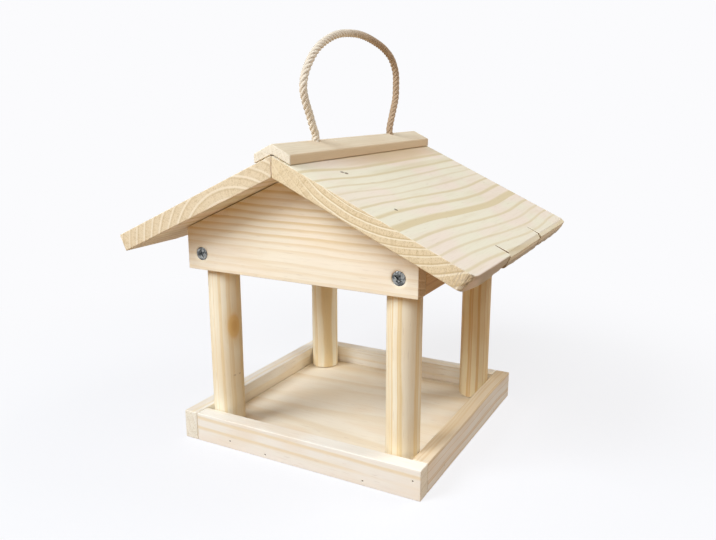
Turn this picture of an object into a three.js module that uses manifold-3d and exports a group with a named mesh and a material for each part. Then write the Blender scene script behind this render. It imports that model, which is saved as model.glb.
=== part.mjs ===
// A hanging bird table of pale pine: an open tray, four round posts and a pitched roof on a rope loop.
// Millimetres, +Z up. The ridge runs along Y and the front gable faces -Y.
// The origin lies under the middle of the roof, level with the underside of the tray.
import * as THREE from "three";
import { ConvexGeometry } from "three/addons/geometries/ConvexGeometry.js";
import { mergeVertices, toCreasedNormals } from "three/addons/utils/BufferGeometryUtils.js";
import Module from "manifold-3d";

const wasm = await Module();
wasm.setup();

// The tray: four strips butted in a pinwheel round a floor panel
const trayWidth = 165.5;
const trayDepth = 163;
const stripHeight = 18.6;
const stripThickness = 9.8;
const floorThickness = 6;

// The posts, one in each corner of the tray
const postDiameter = 20;
const postToStrip = 0.6;
const postSides = 24;

// The roof frame: two gables with a square rail between them on each side
const frameUnderside = 112.2;
const gableInset = 5.95;
const gableSetback = 5.2;
const gableThickness = 9.8;
const gableSide = 25.5;
const railSize = 20;
const leftScrewInset = 10.2;
const rightScrewInset = 11.5;

// The roof boards
const roofPitch = THREE.MathUtils.degToRad(24.6);
const roofThickness = 10.7;
const frontOverhang = 19.3;
const rearOverhang = 12.9;
const eaveOverhang = 32.5;
const kerfWidth = 1.2;
const kerfDepth = 10.2;
const kerfShares = [-0.187, 0.158];
const chipLength = 15;
const chipHeight = 4;
const chipDepth = 8;

// The ridge cap, with a planed top and a V underneath
const capHalfWidth = 11.6;
const capThickness = 5.6;
const capPitch = THREE.MathUtils.degToRad(26);
const capSetback = 0.9;

// The rope loop, its two ends knotted under the ridge
const ropeDiameter = 4.6;
const ropeSides = 10;
const knotDiameter = 11;
const knotTail = 9;
const knotSides = 12;
const knotOutlineShares = [
  [0.42, -0.92],
  [0.75, -0.7],
  [0.97, -0.3],
  [1, 0.2],
  [0.9, 0.55],
  [0.66, 0.84],
];

// The loop's middle line as [y, height over the cap's peak], from the front hole to the rear hole
const ropeRoute = [
  [-47.5, 2.9],
  [-49.9, 7.0],
  [-53.7, 14.6],
  [-57.6, 21.6],
  [-59.6, 28.4],
  [-58.1, 35.2],
  [-53.0, 42.7],
  [-45.5, 49.6],
  [-34.2, 55.5],
  [-20.9, 59.6],
  [-5.5, 61.3],
  [9.3, 61.2],
  [26.8, 58.5],
  [41.8, 54.3],
  [52.7, 48.3],
  [58.6, 40.1],
  [59.4, 31.7],
  [58.7, 23.0],
  [55.8, 16.3],
  [52.3, 9.0],
  [49.8, 2.9],
];

// Clearances
const jointGap = 0.3;
const overrun = 2;

// Fasteners: a screw has a countersunk head with a cross, a pin has a small flat head
const gableScrew = { head: 8, rim: 0.4, shank: 3.5, length: 30, point: 5, sides: 16, cross: 5.2 };
const floorScrew = { head: 7, rim: 0.4, shank: 3.2, length: 24, point: 4, sides: 12, cross: 4.6 };
const crossWidth = 1;
const crossDepth = 1.5;
const postNail = { head: 4.6, rim: 0.9, shank: 2.2, length: 40, point: 3, sides: 8 };
const floorPin = { head: 1.9, rim: 0.6, shank: 1.2, length: 20, point: 2, sides: 6 };
const roofPin = { head: 2.2, rim: 0.6, shank: 1.4, length: 26, point: 2, sides: 6 };
const capPin = { head: 1.9, rim: 0.6, shank: 1.2, length: 14, point: 2, sides: 6 };
const roofPinStagger = 1.7;

// Where the fasteners go, as shares of the piece that each one is driven through
const floorPinShares = [-0.335, -0.164, 0.269];
const cornerPinShare = 0.6;
const roofPinShares = [0.046, 0.51];
const capPinShares = [-0.167, 0.305];
const capPinAcrossShare = 0.2;
const postNailShare = 0.81;

const trayInnerWidth = trayWidth - 2 * stripThickness;
const trayInnerDepth = trayDepth - 2 * stripThickness;
const postX = trayInnerWidth / 2 - postToStrip - postDiameter / 2;
const postY = trayInnerDepth / 2 - postToStrip - postDiameter / 2;
const gableWidth = trayWidth - 2 * gableInset;
const gableSpan = trayDepth - 2 * gableSetback;
const gablePeak = gableSide + (gableWidth / 2) * Math.tan(roofPitch);
const roofApex = frameUnderside + gablePeak + jointGap / Math.cos(roofPitch);
const roofLength = gableSpan + frontOverhang + rearOverhang;
const roofSlope = (gableWidth / 2 + eaveOverhang) / Math.cos(roofPitch);
const capSeat = roofApex + (roofThickness + jointGap) / Math.cos(roofPitch);
const capPeak = capSeat + capThickness;
const ropeRadius = ropeDiameter / 2;

const pine = (shade) => new THREE.MeshStandardMaterial({ color: shade, roughness: 0.7, metalness: 0 });
const stripPine = pine("#f0ddb9");
const postPine = pine("#e9cfa0");
const gablePine = pine("#f2dfbb");
const roofPine = pine("#e8d9b4");
const capPine = pine("#dccbab");
const floorPly = pine("#e3cda2");
const rope = new THREE.MeshStandardMaterial({ color: "#d9c6a4", roughness: 0.95, metalness: 0 });
const zinc = new THREE.MeshStandardMaterial({ color: "#9aa1a8", roughness: 0.35, metalness: 1 });

// Booleans between closed meshes; edges sharper than the crease angle stay sharp
const creaseAngle = THREE.MathUtils.degToRad(35);

function solidOf(geometry) {
  const bare = geometry.clone();
  bare.deleteAttribute("normal");
  bare.deleteAttribute("uv");
  const merged = mergeVertices(bare, 1e-4);
  return new wasm.Manifold(
    new wasm.Mesh({
      numProp: 3,
      vertProperties: new Float32Array(merged.attributes.position.array),
      triVerts: new Uint32Array(merged.index.array),
    }),
  );
}

function geometryOf(solid) {
  const cut = solid.getMesh();
  const geometry = new THREE.BufferGeometry();
  geometry.setAttribute("position", new THREE.BufferAttribute(new Float32Array(cut.vertProperties), 3));
  geometry.setIndex(new THREE.BufferAttribute(new Uint32Array(cut.triVerts), 1));
  return toCreasedNormals(geometry, creaseAngle);
}

function piece(parent, name, geometry, material) {
  const mesh = new THREE.Mesh(geometry, material);
  mesh.name = name;
  parent.add(mesh);
  return mesh;
}

function shapeOf(points) {
  return new THREE.Shape(points.map(([x, y]) => new THREE.Vector2(x, y)));
}

// An outline in X and Z, carried along Y and centred on Y = 0
function plank(points, thickness) {
  const geometry = new THREE.ExtrudeGeometry(shapeOf(points), { depth: thickness, bevelEnabled: false });
  geometry.rotateX(Math.PI / 2);
  geometry.translate(0, thickness / 2, 0);
  return geometry;
}

// A profile of [radius, height] turned round Z; it starts and ends on the axis, going up
function turned(profile, sides) {
  const geometry = new THREE.LatheGeometry(
    profile.map(([r, z]) => new THREE.Vector2(r, z)),
    sides,
  );
  geometry.rotateX(Math.PI / 2);
  return geometry;
}

function rod(radius, length, sides) {
  const geometry = new THREE.CylinderGeometry(radius, radius, length, sides);
  geometry.rotateX(Math.PI / 2);
  return geometry;
}

// A fastener points along -Z from the middle of its head. `slope` is the height of the head's cone.
function fastenerProfile({ head, rim, shank, length, point }, slope, grow, above) {
  const headRadius = head / 2 + grow;
  const shankRadius = shank / 2 + grow;
  return [
    [0, -length - grow],
    [shankRadius, -length + point],
    [shankRadius, -rim - slope - grow],
    [headRadius, -rim - grow],
    [headRadius, above],
    [0, above],
  ];
}

function crossSlot(size) {
  const arm = solidOf(new THREE.BoxGeometry(size.cross, crossWidth, 2 * crossDepth));
  const other = solidOf(new THREE.BoxGeometry(crossWidth, size.cross, 2 * crossDepth));
  return arm.add(other);
}

function screwGeometry(size) {
  const slope = (size.head - size.shank) / 2;
  const body = solidOf(turned(fastenerProfile(size, slope, 0, 0), size.sides));
  return geometryOf(body.subtract(crossSlot(size)));
}

// Puts a fastener at `from`, driven along `towards`, and keeps the hole that it needs
function drive(parent, name, size, from, towards) {
  const isScrew = "cross" in size;
  const slope = isScrew ? (size.head - size.shank) / 2 : 0;
  const body = isScrew ? screwGeometry(size) : turned(fastenerProfile(size, slope, 0, 0), size.sides);
  const mesh = piece(parent, name, body, zinc);
  mesh.position.set(...from);
  mesh.quaternion.setFromUnitVectors(new THREE.Vector3(0, 0, -1), new THREE.Vector3(...towards));
  mesh.userData.hole = turned(fastenerProfile(size, slope, jointGap, overrun), size.sides);
  return mesh;
}

// Cuts the holes of `tools` out of a wooden piece, wherever both stand
function drill(wood, tools) {
  let solid = solidOf(wood.geometry);
  for (const tool of tools) {
    const place = wood.matrixWorld.clone().invert().multiply(tool.matrixWorld);
    solid = solid.subtract(solidOf(tool.userData.hole.clone().applyMatrix4(place)));
  }
  wood.geometry = geometryOf(solid);
}

const birdTable = new THREE.Group();

// The house is all that stands under the roof boards, centred on the tray
const house = new THREE.Group();
house.position.y = (frontOverhang - rearOverhang) / 2;
birdTable.add(house);

// Tray strips: each runs past one neighbour's end and butts against the other
const stripPlaces = {
  front: { length: trayWidth, x: 0, y: -1, turn: 0 },
  right: { length: trayDepth, x: 1, y: 0, turn: 1 },
  back: { length: trayWidth, x: 0, y: 1, turn: 2 },
  left: { length: trayDepth, x: -1, y: 0, turn: 3 },
};
const strips = {};
const floorPins = {};
const cornerPins = {};
for (const [side, { length: outer, x, y, turn }] of Object.entries(stripPlaces)) {
  const frame = new THREE.Group();
  const back = (stripThickness + jointGap) / 2;
  const angle = (turn * Math.PI) / 2;
  frame.position.set(
    (x * (trayWidth - stripThickness)) / 2 + back * Math.cos(angle),
    (y * (trayDepth - stripThickness)) / 2 + back * Math.sin(angle),
    stripHeight / 2,
  );
  frame.rotation.z = angle;
  house.add(frame);
  const length = outer - stripThickness - jointGap;
  strips[side] = piece(
    frame,
    `${side}_strip`,
    new THREE.BoxGeometry(length, stripThickness, stripHeight),
    stripPine,
  );
  const outerFace = -stripThickness / 2;
  const pinHeight = (floorThickness - stripHeight) / 2;
  floorPins[side] = floorPinShares.map((share, i) =>
    drive(
      frame,
      `${side}_floor_pin_${i + 1}`,
      floorPin,
      [share * length, outerFace, pinHeight],
      [0, 1, 0],
    ),
  );
  cornerPins[side] = drive(
    frame,
    `${side}_corner_pin`,
    floorPin,
    [(length - stripThickness) / 2, outerFace, (cornerPinShare - 1 / 2) * stripHeight],
    [0, 1, 0],
  );
}

const floorPanel = piece(
  house,
  "floor_panel",
  new THREE.BoxGeometry(trayInnerWidth - 2 * jointGap, trayInnerDepth - 2 * jointGap, floorThickness),
  floorPly,
);
floorPanel.position.z = floorThickness / 2;

// Posts stand on the floor panel and carry the rails, with a screw from below and a nail from above
const corners = {
  front_left: [-1, -1],
  front_right: [1, -1],
  rear_left: [-1, 1],
  rear_right: [1, 1],
};
const postFoot = floorThickness + jointGap;
const postHeight = frameUnderside - jointGap - postFoot;
const railTop = frameUnderside + railSize;
const posts = {};
const floorScrews = {};
const postNails = {};
for (const [corner, [sx, sy]] of Object.entries(corners)) {
  const post = piece(house, `${corner}_post`, rod(postDiameter / 2, postHeight, postSides), postPine);
  post.position.set(sx * postX, sy * postY, postFoot + postHeight / 2);
  posts[corner] = post;
  floorScrews[corner] = drive(
    house,
    `${corner}_floor_screw`,
    floorScrew,
    [sx * postX, sy * postY, 0],
    [0, 0, 1],
  );
  const nailX = gableWidth / 2 - postNailShare * railSize;
  postNails[corner] = drive(
    house,
    `${corner}_post_nail`,
    postNail,
    [sx * nailX, sy * postY, railTop],
    [0, 0, -1],
  );
}

// Gables
const gableOutline = [
  [-gableWidth / 2, 0],
  [gableWidth / 2, 0],
  [gableWidth / 2, gableSide],
  [0, gablePeak],
  [-gableWidth / 2, gableSide],
];
const gables = {};
const gableFaceY = gableSpan / 2;
for (const [end, sy] of [["front", -1], ["rear", 1]]) {
  const gable = piece(house, `${end}_gable`, plank(gableOutline, gableThickness), gablePine);
  gable.position.set(0, sy * (gableFaceY - gableThickness / 2), frameUnderside);
  gables[end] = gable;
}

// Rails, each held by a screw through either gable into its end
const rails = {};
const gableScrews = { front: [], rear: [] };
const railLength = gableSpan - 2 * (gableThickness + jointGap);
const railX = (gableWidth - railSize) / 2;
const railZ = frameUnderside + railSize / 2;
for (const [side, sx, screwInset] of [["left", -1, leftScrewInset], ["right", 1, rightScrewInset]]) {
  const rail = piece(
    house,
    `${side}_rail`,
    new THREE.BoxGeometry(railSize, railLength, railSize),
    gablePine,
  );
  rail.position.set(sx * railX, 0, railZ);
  rails[side] = rail;
  const screwX = gableWidth / 2 - screwInset;
  for (const [end, sy] of [["front", -1], ["rear", 1]]) {
    const name = `${end}_${side}_gable_screw`;
    const from = [sx * screwX, sy * gableFaceY, railZ];
    gableScrews[end].push(drive(house, name, gableScrew, from, [0, -sy, 0]));
  }
}

// Roof boards: the left board is turned half round, so its cuts run the other way along it
const halfGap = jointGap / 2;
const roofOutline = [
  [0, 0],
  [roofSlope, 0],
  [roofSlope, roofThickness],
  [-roofThickness * Math.tan(roofPitch), roofThickness],
];

// A break's slanting face meets the eave, the underside and the sawn side
function chipGeometry(y, along) {
  const corners = [
    [overrun, -chipLength, 0],
    [overrun, 0, chipHeight],
    [overrun, 0, -overrun],
    [overrun, -chipLength, -overrun],
    [-chipDepth, 0, 0],
    [-chipDepth, 0, -overrun],
  ];
  const place = ([x, back, z]) => new THREE.Vector3(roofSlope + x, y + along * back, z);
  return new ConvexGeometry(corners.map(place));
}

// The eave is sawn into three shingles, each with its lower rear corner broken off
function roofBoardGeometry(along) {
  let board = solidOf(plank(roofOutline, roofLength));
  const kerfs = kerfShares.map((share) => share * along * roofLength);
  for (const y of kerfs) {
    const kerf = new THREE.BoxGeometry(kerfDepth + overrun, kerfWidth, roofThickness + 2 * overrun);
    kerf.translate(roofSlope + (overrun - kerfDepth) / 2, y, roofThickness / 2);
    board = board.subtract(solidOf(kerf));
  }
  for (const y of [...kerfs, (along * roofLength) / 2]) {
    board = board.subtract(solidOf(chipGeometry(y, along)));
  }
  return geometryOf(board);
}

// The pins of the two boards pass each other inside the gable, staggered; the upper ones hide under the cap
const roofBoards = {};
const roofPins = [];
for (const [side, along] of [["right", 1], ["left", -1]]) {
  const half = new THREE.Group();
  half.position.z = roofApex;
  half.rotation.z = along > 0 ? 0 : Math.PI;
  const slope = new THREE.Group();
  slope.position.x = halfGap;
  slope.rotation.y = roofPitch;
  half.add(slope);
  birdTable.add(half);
  roofBoards[side] = piece(slope, `${side}_roof_board`, roofBoardGeometry(along), roofPine);
  for (const [end, sy] of [["front", -1], ["rear", 1]]) {
    const gableY = house.position.y + sy * (gableFaceY - gableThickness / 2);
    roofPinShares.forEach((share, i) => {
      const from = [share * roofSlope, along * gableY + roofPinStagger, roofThickness];
      const pin = drive(slope, `${end}_${side}_roof_pin_${i + 1}`, roofPin, from, [0, 0, -1]);
      pin.userData.end = end;
      pin.userData.side = side;
      roofPins.push(pin);
    });
  }
}

// Ridge cap
const capLength = roofLength - 2 * capSetback;
const capShoulder = capThickness - capHalfWidth * Math.tan(capPitch);
const capHem = -capHalfWidth * Math.tan(roofPitch);
const capOutline = [
  [0, 0],
  [capHalfWidth, capHem],
  [capHalfWidth, capShoulder],
  [0, capThickness],
  [-capHalfWidth, capShoulder],
  [-capHalfWidth, capHem],
];
const ridge = new THREE.Group();
ridge.position.z = capSeat;
birdTable.add(ridge);
const ridgeCap = piece(ridge, "ridge_cap", plank(capOutline, capLength), capPine);
const capPinX = capPinAcrossShare * capHalfWidth;
const capPinZ = capThickness - capPinX * Math.tan(capPitch);
const capPins = capPinShares.map((share, i) =>
  drive(ridge, `cap_pin_${i + 1}`, capPin, [capPinX, share * capLength, capPinZ], [0, 0, -1]),
);

// Rope: a knotted end stands in each hole, and the loop hinges just over the cap's peak
const holeY = { front: ropeRoute[0][0], rear: ropeRoute[ropeRoute.length - 1][0] };
const pivotRise = (ropeRadius + jointGap) / Math.cos(capPitch);
const endTop = capPeak + pivotRise - ropeRadius - jointGap;
const knotRadius = knotDiameter / 2;
const knotDrop = (knotRadius + jointGap) / Math.cos(roofPitch);
const knotHeight = roofApex - knotDrop;
const ropeEnds = {};
for (const [end, y] of Object.entries(holeY)) {
  const stand = endTop - knotHeight;
  const knot = knotOutlineShares.map(([out, up]) => [out * knotRadius, up * knotRadius]);
  const profile = [
    [0, -knotRadius - knotTail],
    [ropeRadius, -knotRadius - knotTail],
    ...knot,
    [ropeRadius, knotRadius],
    [ropeRadius, stand],
    [0, stand],
  ];
  const ropeEnd = piece(birdTable, `${end}_rope_end`, turned(profile, knotSides), rope);
  ropeEnd.position.set(0, y, knotHeight);
  ropeEnd.userData.hole = rod(ropeRadius + jointGap, 2 * stand, knotSides);
  ropeEnds[end] = ropeEnd;
}

// The route starts and ends on the hinge's own line
function ropeLoopGeometry() {
  const route = ropeRoute.map(([y, z]) => new THREE.Vector3(0, y, z));
  route[0].z = pivotRise;
  route[route.length - 1].z = pivotRise;
  const path = new THREE.CatmullRomCurve3(route, false, "centripetal");
  const steps = Math.round(path.getLength() / (2 * ropeDiameter));
  const section = new THREE.Shape();
  section.absarc(0, 0, ropeRadius, 0, 2 * Math.PI);
  const tube = new THREE.ExtrudeGeometry(section, {
    steps,
    curveSegments: ropeSides / 2,
    extrudePath: path,
  });
  let loop = solidOf(tube);
  for (const end of [route[0], route[route.length - 1]]) {
    const ball = new THREE.SphereGeometry(ropeRadius, ropeSides, ropeSides / 2);
    ball.translate(end.x, end.y, end.z);
    loop = loop.add(solidOf(ball));
  }
  return geometryOf(loop);
}
const ropeLoop = piece(birdTable, "rope_loop", ropeLoopGeometry(), rope);
ropeLoop.position.z = capPeak;

// The holes, cut once everything stands in its place
birdTable.updateMatrixWorld(true);
const previousStrip = { right: "front", back: "right", left: "back", front: "left" };
for (const [side, previous] of Object.entries(previousStrip)) {
  const through = [...floorPins[side], cornerPins[side], cornerPins[previous]];
  drill(strips[side], through);
}
drill(floorPanel, [...Object.values(floorPins).flat(), ...Object.values(floorScrews)]);
for (const corner of Object.keys(corners)) drill(posts[corner], [floorScrews[corner], postNails[corner]]);
for (const end of ["front", "rear"]) {
  const pins = roofPins.filter((pin) => pin.userData.end === end);
  drill(gables[end], [...gableScrews[end], ...pins]);
}
for (const side of ["left", "right"]) {
  const nails = Object.keys(corners).filter((corner) => corner.endsWith(side));
  const screws = [...gableScrews.front, ...gableScrews.rear].filter((screw) => screw.name.includes(side));
  drill(rails[side], [...screws, ...nails.map((corner) => postNails[corner])]);
  const pins = roofPins.filter((pin) => pin.userData.side === side);
  drill(roofBoards[side], [...pins, ...Object.values(ropeEnds), ...capPins]);
}
drill(ridgeCap, [...capPins, ...Object.values(ropeEnds)]);

export default birdTable;
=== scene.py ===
# A hanging bird table of bare pine: an open tray, four posts, a pitched roof with a cap, and a rope loop.
# Metres, +Z up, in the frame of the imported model: the ridge runs along Y and the front gable faces -Y.
import math

import bpy
import numpy as np
from mathutils import Matrix, Quaternion, Vector


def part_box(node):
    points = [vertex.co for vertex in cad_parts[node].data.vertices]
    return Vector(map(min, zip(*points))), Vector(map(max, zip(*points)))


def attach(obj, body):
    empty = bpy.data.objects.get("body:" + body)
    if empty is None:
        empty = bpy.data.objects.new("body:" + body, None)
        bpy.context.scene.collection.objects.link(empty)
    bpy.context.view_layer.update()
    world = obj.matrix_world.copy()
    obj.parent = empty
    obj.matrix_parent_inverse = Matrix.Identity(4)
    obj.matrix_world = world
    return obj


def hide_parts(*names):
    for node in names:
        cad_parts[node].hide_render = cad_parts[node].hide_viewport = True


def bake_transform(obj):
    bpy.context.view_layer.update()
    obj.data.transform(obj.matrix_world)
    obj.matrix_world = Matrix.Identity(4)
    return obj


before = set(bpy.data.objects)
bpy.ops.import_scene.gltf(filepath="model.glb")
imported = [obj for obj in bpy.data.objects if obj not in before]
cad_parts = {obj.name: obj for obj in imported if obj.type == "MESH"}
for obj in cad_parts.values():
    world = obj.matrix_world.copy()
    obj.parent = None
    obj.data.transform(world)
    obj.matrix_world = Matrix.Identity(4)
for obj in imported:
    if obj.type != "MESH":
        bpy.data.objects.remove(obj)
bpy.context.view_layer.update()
mm = 0.001

# Camera: a short lens a little above the tray, looking down on the front right corner.
# Its place was found by fitting the corners of the tray, the posts and the roof.
camera_place = Vector((0.21714, -0.40019, 0.21303))
camera_aim = Vector((0.000377, 0.0032, 0.103584))
photo_width_pixels = 716
focal_pixels = 711.1

lens = bpy.data.cameras.new("camera")
lens.sensor_width = 36
lens.lens = lens.sensor_width * focal_pixels / photo_width_pixels
lens.clip_start = 0.01
camera = bpy.data.objects.new("camera", lens)
camera.location = camera_place
camera.rotation_euler = (camera_aim - camera_place).to_track_quat("-Z", "Y").to_euler()
bpy.context.scene.collection.objects.link(camera)
bpy.context.scene.camera = camera

# Rope: one length of undyed four-strand rope, led up through a hole in the ridge, over in a loop and down
# again. It is stiff enough to stand by itself, and a knot under the ridge holds either end. Its route is the
# middle line of the loop: metres along the ridge, and above the top of the cap.
rope_diameter = 4.6 * mm
rope_lay = 13 * mm
strand_count = 4
strand_radius = 0.275 * rope_diameter
strand_offset = rope_diameter / 2 - strand_radius
yarns_in_strand = 6
yarn_relief = 0.016 * mm
yarn_turns = 2.2
fibre_relief = 0.006 * mm
rope_sides, knot_sides = 72, 48
rope_route = np.array(
    [
        (-0.0475, 0.0029), (-0.0499, 0.0070), (-0.0537, 0.0146), (-0.0576, 0.0216), (-0.0596, 0.0284),
        (-0.0581, 0.0352), (-0.0530, 0.0427), (-0.0455, 0.0496), (-0.0342, 0.0555), (-0.0209, 0.0596),
        (-0.0055, 0.0613), (0.0093, 0.0612), (0.0268, 0.0585), (0.0418, 0.0543), (0.0527, 0.0483),
        (0.0586, 0.0401), (0.0594, 0.0317), (0.0587, 0.0230), (0.0558, 0.0163), (0.0523, 0.0090),
        (0.0498, 0.0029),
    ]
)
cap_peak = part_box("ridge_cap")[1].z
knot_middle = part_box("front_rope_end")[0].z + 14.5 * mm


def make_piece(name, points, faces, material, slot_name, *nodes, body="house"):
    """Puts points and faces into a smooth mesh that rides on a body and stands for CAD nodes."""
    mesh = bpy.data.meshes.new(name)
    mesh.from_pydata(points, [], faces)
    mesh.shade_smooth()
    mesh.materials.append(material)
    piece = bpy.data.objects.new(name, mesh)
    bpy.context.scene.collection.objects.link(piece)
    if body:
        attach(piece, body)
    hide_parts(*nodes)
    return piece


def between(t, first, last, here, there):
    """On the straight line that is `here` when t is first and `there` when t is last."""
    return (last - t) / (last - first) * here + (t - first) / (last - first) * there


def smooth_line(points, step):
    """A centripetal Catmull-Rom curve through the points, as points an equal step apart along it."""
    ends = np.vstack([2 * points[0] - points[1], points, 2 * points[-1] - points[-2]])
    knots = np.concatenate([[0], np.cumsum(np.linalg.norm(np.diff(ends, axis=0), axis=1) ** 0.5)])
    pieces = []
    for i in range(1, len(ends) - 2):
        t = np.linspace(knots[i], knots[i + 1], 40, endpoint=False)[:, None]
        t0, t1, t2, t3 = knots[i - 1 : i + 3]
        p0, p1, p2, p3 = ends[i - 1 : i + 3]
        a1, a2, a3 = between(t, t0, t1, p0, p1), between(t, t1, t2, p1, p2), between(t, t2, t3, p2, p3)
        pieces.append(between(t, t1, t2, between(t, t0, t2, a1, a2), between(t, t1, t3, a2, a3)))
    fine = np.vstack(pieces + [ends[-2:-1]])
    along = np.concatenate([[0], np.cumsum(np.linalg.norm(np.diff(fine, axis=0), axis=1))])
    even = np.linspace(0, along[-1], max(2, round(along[-1] / step)) + 1)
    return np.stack([np.interp(even, along, fine[:, k]) for k in range(3)], axis=1), even


def tube_faces(rings, sides):
    """Quads between rings of points, and a fan to a middle point at either end. The middles come last."""
    ring = np.arange(rings - 1)[:, None] * sides
    here = np.arange(sides)
    after = (here + 1) % sides
    quads = np.stack([ring + here, ring + after, ring + sides + after, ring + sides + here], axis=-1)
    first, last = rings * sides, rings * sides + 1
    start = np.stack([np.full(sides, first), after, here], axis=-1)
    end = np.stack([np.full(sides, last), here + sides * (rings - 1), after + sides * (rings - 1)], axis=-1)
    return quads.reshape(-1, 4).tolist() + start.tolist() + end.tolist()


def laid_rope(line, along, across, sides):
    """Round strands in a right-hand helix round a line. The radius at an angle from a strand's middle is
    where a ray leaves that strand's circle. A small wave on it, running the other way, is its yarns."""
    tangent = np.gradient(line, along, axis=0)
    tangent /= np.linalg.norm(tangent, axis=1)[:, None]
    side = across - (tangent @ across)[:, None] * tangent
    side /= np.linalg.norm(side, axis=1)[:, None]
    up = np.cross(tangent, side)
    turn = 2 * np.pi * along / rope_lay
    slot_angle = 2 * np.pi * np.arange(sides) / sides
    half_share = np.pi / strand_count
    lean = (slot_angle + half_share) % (2 * half_share) - half_share
    radius = strand_offset * np.cos(lean) + np.sqrt(strand_radius**2 - (strand_offset * np.sin(lean)) ** 2)
    round_strand = np.arctan2(radius * np.sin(lean), radius * np.cos(lean) - strand_offset)
    wave = np.cos(yarns_in_strand * round_strand[None, :] + yarn_turns * turn[:, None])
    rough = np.random.default_rng(7).normal(0, fibre_relief, (len(line), sides))
    radius = radius[None, :] + yarn_relief * wave + rough
    angle = slot_angle[None, :] + turn[:, None]
    ring = np.cos(angle)[..., None] * side[:, None] + np.sin(angle)[..., None] * up[:, None]
    points = (line[:, None] + radius[..., None] * ring).reshape(-1, 3)
    return np.vstack([points, line[:1], line[-1:]])


def both_ways(operation):
    """The methods that add one Math node, for a wire on the left of the sign and for one on its right."""
    return (
        lambda wire, other: wire.finish.math(operation, wire, other),
        lambda wire, other: wire.finish.math(operation, other, wire),
    )


class Wire:
    """An output of a shader node. Arithmetic on wires adds the Math nodes that work it out."""

    __add__, __radd__ = both_ways("ADD")
    __sub__, __rsub__ = both_ways("SUBTRACT")
    __mul__, __rmul__ = both_ways("MULTIPLY")
    __truediv__, __rtruediv__ = both_ways("DIVIDE")

    def __init__(self, finish, socket):
        self.finish = finish
        self.socket = socket


class Finish:
    """A material or a world in the making, on the shader nodes that its wires join."""

    def __init__(self, made):
        self.made = made
        made.use_nodes = True
        self.tree = made.node_tree
        self.tree.nodes.clear()

    def node(self, kind, settings=None, sockets=None, out=0):
        """Adds a shader node, sets it, then fills or links its inputs, and gives one of its outputs."""
        made = self.tree.nodes.new("ShaderNode" + kind)
        for name, value in (settings or {}).items():
            setattr(made, name, value)
        for key, value in (sockets or {}).items():
            if isinstance(value, Wire):
                self.tree.links.new(value.socket, made.inputs[key])
            else:
                made.inputs[key].default_value = value
        return Wire(self, made.outputs[out])

    def math(self, operation, *values):
        return self.node("Math", {"operation": operation}, dict(enumerate(values)))

    def vector(self, operation, *values, out=0):
        return self.node("VectorMath", {"operation": operation}, dict(enumerate(values)), out)

    def parts(self, vector):
        """The three components of a vector."""
        split = self.node("SeparateXYZ", {}, {0: vector})
        return [Wire(self, socket) for socket in split.socket.node.outputs]

    def step(self, value, low, high):
        """0 below low, 1 above high and a smooth rise between, the other way round if low is above high."""
        rising = {"interpolation_type": "SMOOTHSTEP"}
        if low < high:
            return self.node("MapRange", rising, {0: value, 1: low, 2: high})
        return self.node("MapRange", rising, {0: value, 1: high, 2: low, 3: 1.0, 4: 0.0})

    def noise(self, vector, scale, detail=2.0, roughness=0.5, out=0):
        sockets = {"Vector": vector, "Scale": scale, "Detail": detail, "Roughness": roughness}
        return self.node("TexNoise", {}, sockets, out)

    def mix(self, share, first, second):
        """The first colour, turned into the second one by a share."""
        return self.node("Mix", {"data_type": "RGBA"}, {0: share, 6: first, 7: second}, 2)

    def layers(self, colour, rows):
        """A colour with tints laid over it, each by its share."""
        for share, tint in rows:
            colour = self.mix(share, colour, paint(*tint))
        return colour

    def own(self):
        """Object coordinates, in metres."""
        return self.node("TexCoord", out=3)

    def place(self, centre, turn, size):
        """Object coordinates seen from a centre, along turned axes, in units of a size."""
        return self.node("Mapping", {"vector_type": "TEXTURE"}, {0: self.own(), 1: centre, 2: turn, 3: size})

    def spot(self, centre, size, edge, turn):
        """1 inside an ellipsoid and 0 outside it, soft over the share `edge` of its size."""
        reach = self.vector("LENGTH", self.place(centre, turn, size), out=1)
        return self.step(reach, 1 + edge / 2, 1 - edge / 2)

    def shade(self, colour, roughness, height, distance, strength=1.0, **fixed):
        """Ends the material in a Principled surface whose bumps are `distance` high."""
        sockets = {"Strength": strength, "Distance": distance, "Height": height}
        normal = self.node("Bump", {}, sockets)
        sockets = {"Base Color": colour, "Roughness": roughness, "Normal": normal, **fixed}
        return self.show(self.node("BsdfPrincipled", {}, sockets))

    def show(self, surface, kind="Material"):
        output = self.tree.nodes.new("ShaderNodeOutput" + kind)
        self.tree.links.new(surface.socket, output.inputs["Surface"])
        return self.made


def paint(red, green, blue):
    """A colour as it is seen on a screen, 0 to 255, in the linear values that shaders use."""
    seen = np.array([red, green, blue]) / 255
    return (*np.where(seen <= 0.04045, seen / 12.92, ((seen + 0.055) / 1.055) ** 2.4), 1.0)


def rope_finish():
    """Undyed fibre, cream on the front leg and browner from the crown on, with a few brown hairs."""
    finish = Finish(bpy.data.materials.new("rope_fibre"))
    own = finish.own()
    along_ridge = finish.parts(own)[1]
    browner = finish.step(along_ridge + 0.02 * finish.noise(own, 40.0), -14 * mm, 42 * mm)
    fibre = finish.noise(own, 900.0, 3.0)
    blotch = finish.noise(own, 160.0)
    cream = finish.mix(blotch, paint(240, 228, 208), paint(224, 207, 183))
    tan = finish.mix(blotch, paint(198, 170, 139), paint(168, 139, 108))
    hairs = (0.12 * finish.step(fibre, 0.5, 0.75), (140, 110, 82))
    colour = finish.layers(finish.mix(browner, cream, tan), [hairs])
    return finish.shade(colour, 0.9, fibre, 0.03 * mm, 0.5, **{"Sheen Weight": 0.15})


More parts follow.
